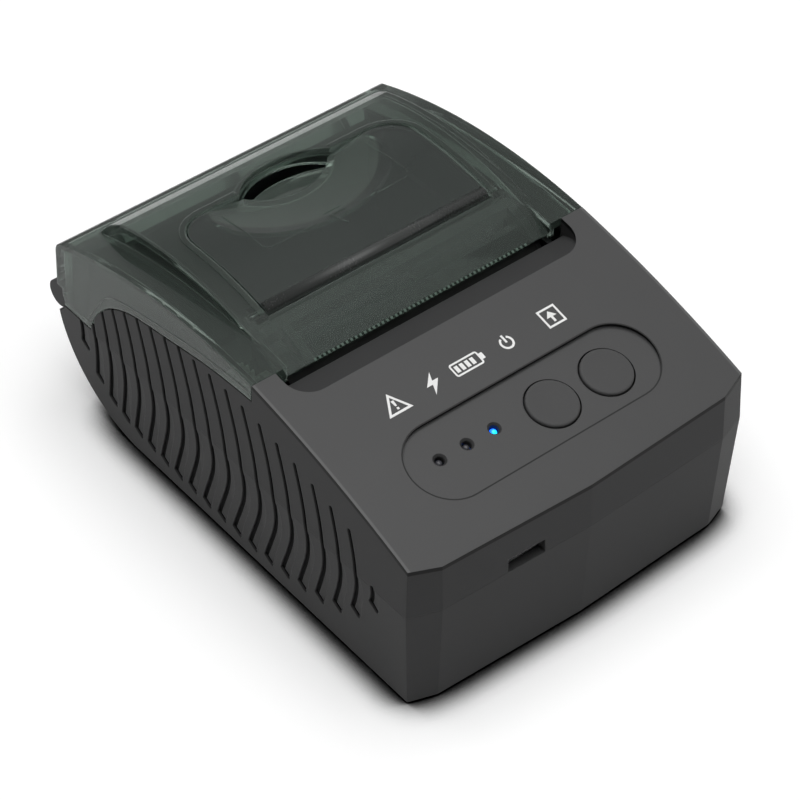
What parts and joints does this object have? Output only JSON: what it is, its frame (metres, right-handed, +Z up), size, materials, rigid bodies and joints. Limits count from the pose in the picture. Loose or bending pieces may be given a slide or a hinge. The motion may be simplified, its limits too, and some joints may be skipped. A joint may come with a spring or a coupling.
{
  "type": "portable receipt printer",
  "caption": "Pocket-size thermal receipt printer: charcoal case with a sloping key panel, smoked hinged cover over the paper bin, tear edge, release lever and battery door.",
  "frame": {"origin": "middle of the footprint on the surface that the feet stand on", "axes": "+Z up, -Y toward the front face with the socket, +Y toward the cover's hinge, +X to the right seen from the front"},
  "size_m": [0.077, 0.1091, 0.0484],
  "materials": {
    "case_plastic": "moulded charcoal plastic with a fine spark-eroded grain",
    "smoked_cover": "smoked translucent polycarbonate, polished",
    "smoked_lever": "smoked translucent polycarbonate, polished",
    "steel": "ground bright steel",
    "spring_steel": "drawn spring wire",
    "screw_steel": "black zinc-plated steel",
    "motor_steel": "zinc-plated drawn can",
    "socket_steel": "tinned sheet steel",
    "black_plastic": "glass-filled black plastic",
    "bearing_plastic": "natural acetal",
    "gear_plastic": "natural white acetal",
    "brass_gear": "hobbed brass",
    "platen_rubber": "ground silicone rubber",
    "foot_rubber": "soft black rubber",
    "heatsink": "anodised aluminium plate",
    "ceramic": "glazed ceramic substrate",
    "flat_cable": "white flat film cable",
    "bin_plastic": "moulded black plastic",
    "door_plastic": "moulded charcoal plastic with a fine grain",
    "battery_wrap": "foil pouch cell in a plain wrap",
    "contact_brass": "gold-flashed contact leaves",
    "board": "green solder resist",
    "chip_plastic": "black epoxy",
    "button_plastic": "moulded charcoal plastic, satin",
    "led_clear": "clear lens, unlit",
    "led_blue": "clear lens, lit blue"
  },
  "bodies": {
    "case": {"upper_case": "case_plastic", "lower_case": "case_plastic", "hinge_pin": "steel", "mechanism_frame": "black_plastic", "frame_screws": "screw_steel", "stepper_motor": "motor_steel", "idler_post": "steel", "head_springs": "spring_steel", "head_rod": "steel", "head_cable": "flat_cable", "paper_sensor": "black_plastic", "paper_bin": "bin_plastic", "battery_pack": "battery_wrap", "battery_contacts": "contact_brass", "rubber_feet": "foot_rubber", "case_screws": "screw_steel", "main_pcb": "board", "main_chips": "chip_plastic", "usb_socket": "socket_steel", "panel_pcb": "board", "panel_ribbon": "flat_cable", "tact_switches": "chip_plastic", "led_error": "led_clear", "led_charge": "led_clear", "led_power": "led_blue"},
    "cover_body": {"cover": "smoked_cover", "platen_carrier": "black_plastic", "platen_bushings": "bearing_plastic", "lever_pin": "steel", "lever_springs": "spring_steel"},
    "platen": {"platen_roller": "platen_rubber", "platen_shaft": "steel", "platen_gear": "gear_plastic"},
    "idler": {"idler_gear": "gear_plastic"},
    "pinion": {"motor_pinion": "brass_gear", "motor_shaft": "steel"},
    "lever": {"release_lever": "smoked_lever"},
    "power_key": {"power_button": "button_plastic"},
    "feed_key": {"feed_button": "button_plastic"},
    "door": {"battery_door": "door_plastic"},
    "head": {"head_heatsink": "heatsink", "thermal_head": "ceramic"}
  },
  "joints": [
    {"name": "cover_hinge", "type": "hinge", "parent": "case", "child": "cover_body", "pos_m": [0, 0.0518, 0.024], "axis": [-1, 0, 0], "range_deg": [0, 95]},
    {"name": "platen_spin", "type": "hinge", "parent": "cover_body", "child": "platen", "pos_m": [0, -0.0034, 0.0363], "axis": [1, 0, 0], "continuous": true},
    {"name": "idler_spin", "type": "hinge", "parent": "case", "child": "idler", "pos_m": [0, -0.0053, 0.02776], "axis": [1, 0, 0], "continuous": true},
    {"name": "pinion_spin", "type": "hinge", "parent": "case", "child": "pinion", "pos_m": [0, -0.014, 0.0246], "axis": [1, 0, 0], "continuous": true},
    {"name": "lever_lift", "type": "hinge", "parent": "cover_body", "child": "lever", "pos_m": [0, 0.0046, 0.0449], "axis": [1, 0, 0], "range_deg": [0, 28], "stiffness_Nm_per_rad": 0.004, "springref_deg": -11.46},
    {"name": "power_press", "type": "slide", "parent": "case", "child": "power_key", "axis": [0, 0.2402, -0.9707], "range_m": [0, 0.0005], "stiffness_N_per_m": 300, "springref_m": -0.0005},
    {"name": "feed_press", "type": "slide", "parent": "case", "child": "feed_key", "axis": [0, 0.2402, -0.9707], "range_m": [0, 0.0005], "stiffness_N_per_m": 300, "springref_m": -0.0005},
    {"name": "door_hinge", "type": "hinge", "parent": "case", "child": "door", "pos_m": [0, -0.00855, 0.00145], "axis": [1, 0, 0], "range_deg": [0, 100]},
    {"name": "head_pivot", "type": "hinge", "parent": "case", "child": "head", "pos_m": [0, -0.0117, 0.0334], "axis": [1, 0, 0], "range_deg": [0, 2.5], "stiffness_Nm_per_rad": 0.05, "springref_deg": -2.86}
  ],
  "couplings": [
    {"joint": "idler_spin", "follows": "platen_spin", "ratio": -1.6923},
    {"joint": "pinion_spin", "follows": "platen_spin", "ratio": 3.5256}
  ]
}
